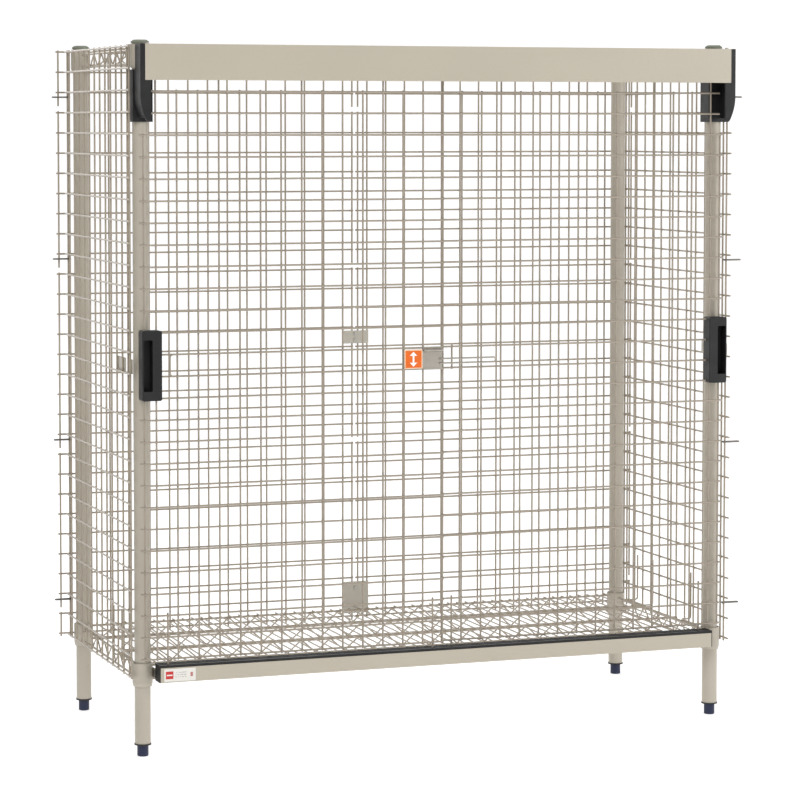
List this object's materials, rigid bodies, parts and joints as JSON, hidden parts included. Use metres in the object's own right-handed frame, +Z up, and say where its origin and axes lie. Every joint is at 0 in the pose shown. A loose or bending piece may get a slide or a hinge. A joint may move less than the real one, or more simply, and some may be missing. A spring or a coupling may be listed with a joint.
{
  "type": "wire security cage",
  "caption": "Free-standing wire mesh cage on round posts, with wire decks at floor and roof, mesh side and rear panels, and sliding mesh doors with a hasp latch across the front.",
  "frame": {"origin": "on the floor at the middle of the footprint, feet screwed fully in", "axes": "+X to the right along the front, +Y from the doors to the back, +Z up"},
  "size_m": [1.629, 0.6934, 1.692],
  "materials": {
    "post_finish": "satin taupe epoxy coat",
    "shelf_finish": "satin taupe epoxy coat",
    "panel_finish": "satin taupe epoxy coat",
    "door_finish": "satin taupe epoxy coat",
    "header_finish": "satin beige coat",
    "black_plastic": "fine matte moulding",
    "cap_plastic": "matte moulding",
    "insert_plastic": "matte moulding",
    "foot_finish": "dark blue coat",
    "plate_finish": "satin coat",
    "plain_steel": "plated",
    "track_finish": "plated sheet",
    "roller_plastic": "smooth moulding",
    "latch_label": "printed film",
    "rail_label": "printed film"
  },
  "bodies": {
    "frame": {"floor_shelf_collars": "shelf_finish", "floor_shelf_deck": "shelf_finish", "floor_shelf_trusses": "shelf_finish", "floor_shelf_zigzags": "shelf_finish", "foot_inserts": "insert_plastic", "front_left_post": "post_finish", "front_rail": "header_finish", "front_right_post": "post_finish", "guide_track": "black_plastic", "header_fascia": "header_finish", "header_screws": "plain_steel", "joiner_screws": "plain_steel", "left_header_bracket": "black_plastic", "left_rear_panel": "panel_finish", "left_side_panel": "panel_finish", "lower_joiner_plate": "plate_finish", "panel_clips": "panel_finish", "panel_loops": "panel_finish", "post_caps": "cap_plastic", "rail_bolts": "plain_steel", "rail_brackets": "plain_steel", "rail_end_caps": "black_plastic", "rail_label": "rail_label", "rear_left_post": "post_finish", "rear_right_post": "post_finish", "right_header_bracket": "black_plastic", "right_rear_panel": "panel_finish", "right_side_panel": "panel_finish", "roof_shelf_collars": "shelf_finish", "roof_shelf_deck": "shelf_finish", "roof_shelf_trusses": "shelf_finish", "roof_shelf_zigzags": "shelf_finish", "shelf_sleeves": "black_plastic", "side_panel_plates": "plate_finish", "upper_joiner_plate": "plate_finish", "upper_track": "track_finish"},
    "left_door": {"left_door_grid": "door_finish", "left_door_hanger": "track_finish", "left_roller_axles": "plain_steel", "left_door_pins": "door_finish", "left_door_handle": "black_plastic", "latch_base": "plate_finish", "latch_pin": "plain_steel"},
    "right_door": {"right_door_grid": "door_finish", "right_door_hanger": "track_finish", "right_roller_axles": "plain_steel", "right_door_pins": "door_finish", "right_door_handle": "black_plastic", "keeper_rod": "door_finish"},
    "latch": {"latch_lever": "plate_finish", "latch_label": "latch_label", "hasp_loop": "plain_steel"},
    "left_outer_roller": {"left_outer_roller": "roller_plastic"},
    "left_inner_roller": {"left_inner_roller": "roller_plastic"},
    "right_outer_roller": {"right_outer_roller": "roller_plastic"},
    "right_inner_roller": {"right_inner_roller": "roller_plastic"},
    "front_left_foot": {"front_left_foot": "foot_finish"},
    "front_right_foot": {"front_right_foot": "foot_finish"},
    "rear_left_foot": {"rear_left_foot": "foot_finish"},
    "rear_right_foot": {"rear_right_foot": "foot_finish"}
  },
  "joints": [
    {"name": "left_door_slide", "type": "slide", "parent": "frame", "child": "left_door", "axis": [1, 0, 0], "range_m": [0, 0.56]},
    {"name": "right_door_slide", "type": "slide", "parent": "frame", "child": "right_door", "axis": [1, 0, 0], "range_m": [-0.56, 0]},
    {"name": "left_outer_roller_spin", "type": "hinge", "parent": "left_door", "child": "left_outer_roller", "pos_m": [-0.6175, -0.32125, 1.6625], "axis": [0, 1, 0], "range_deg": [0, 2676]},
    {"name": "left_inner_roller_spin", "type": "hinge", "parent": "left_door", "child": "left_inner_roller", "pos_m": [-0.1036, -0.32125, 1.6625], "axis": [0, 1, 0], "range_deg": [0, 2676]},
    {"name": "right_outer_roller_spin", "type": "hinge", "parent": "right_door", "child": "right_outer_roller", "pos_m": [0.6175, -0.30725, 1.6625], "axis": [0, 1, 0], "range_deg": [-2676, 0]},
    {"name": "right_inner_roller_spin", "type": "hinge", "parent": "right_door", "child": "right_inner_roller", "pos_m": [0.1036, -0.30725, 1.6625], "axis": [0, 1, 0], "range_deg": [-2676, 0]},
    {"name": "latch_swing", "type": "hinge", "parent": "left_door", "child": "latch", "pos_m": [-0.0305, -0.32575, 0.95], "axis": [-1, 0, 0], "range_deg": [0, 90]},
    {"name": "front_left_foot_screw", "type": "slide", "parent": "frame", "child": "front_left_foot", "axis": [0, 0, -1], "range_m": [0, 0.02]},
    {"name": "front_right_foot_screw", "type": "slide", "parent": "frame", "child": "front_right_foot", "axis": [0, 0, -1], "range_m": [0, 0.02]},
    {"name": "rear_left_foot_screw", "type": "slide", "parent": "frame", "child": "rear_left_foot", "axis": [0, 0, -1], "range_m": [0, 0.02]},
    {"name": "rear_right_foot_screw", "type": "slide", "parent": "frame", "child": "rear_right_foot", "axis": [0, 0, -1], "range_m": [0, 0.02]}
  ],
  "couplings": [
    {"joint": "left_outer_roller_spin", "follows": "left_door_slide", "rad_per_m": 83.333},
    {"joint": "left_inner_roller_spin", "follows": "left_door_slide", "rad_per_m": 83.333},
    {"joint": "right_outer_roller_spin", "follows": "right_door_slide", "rad_per_m": 83.333},
    {"joint": "right_inner_roller_spin", "follows": "right_door_slide", "rad_per_m": 83.333}
  ]
}
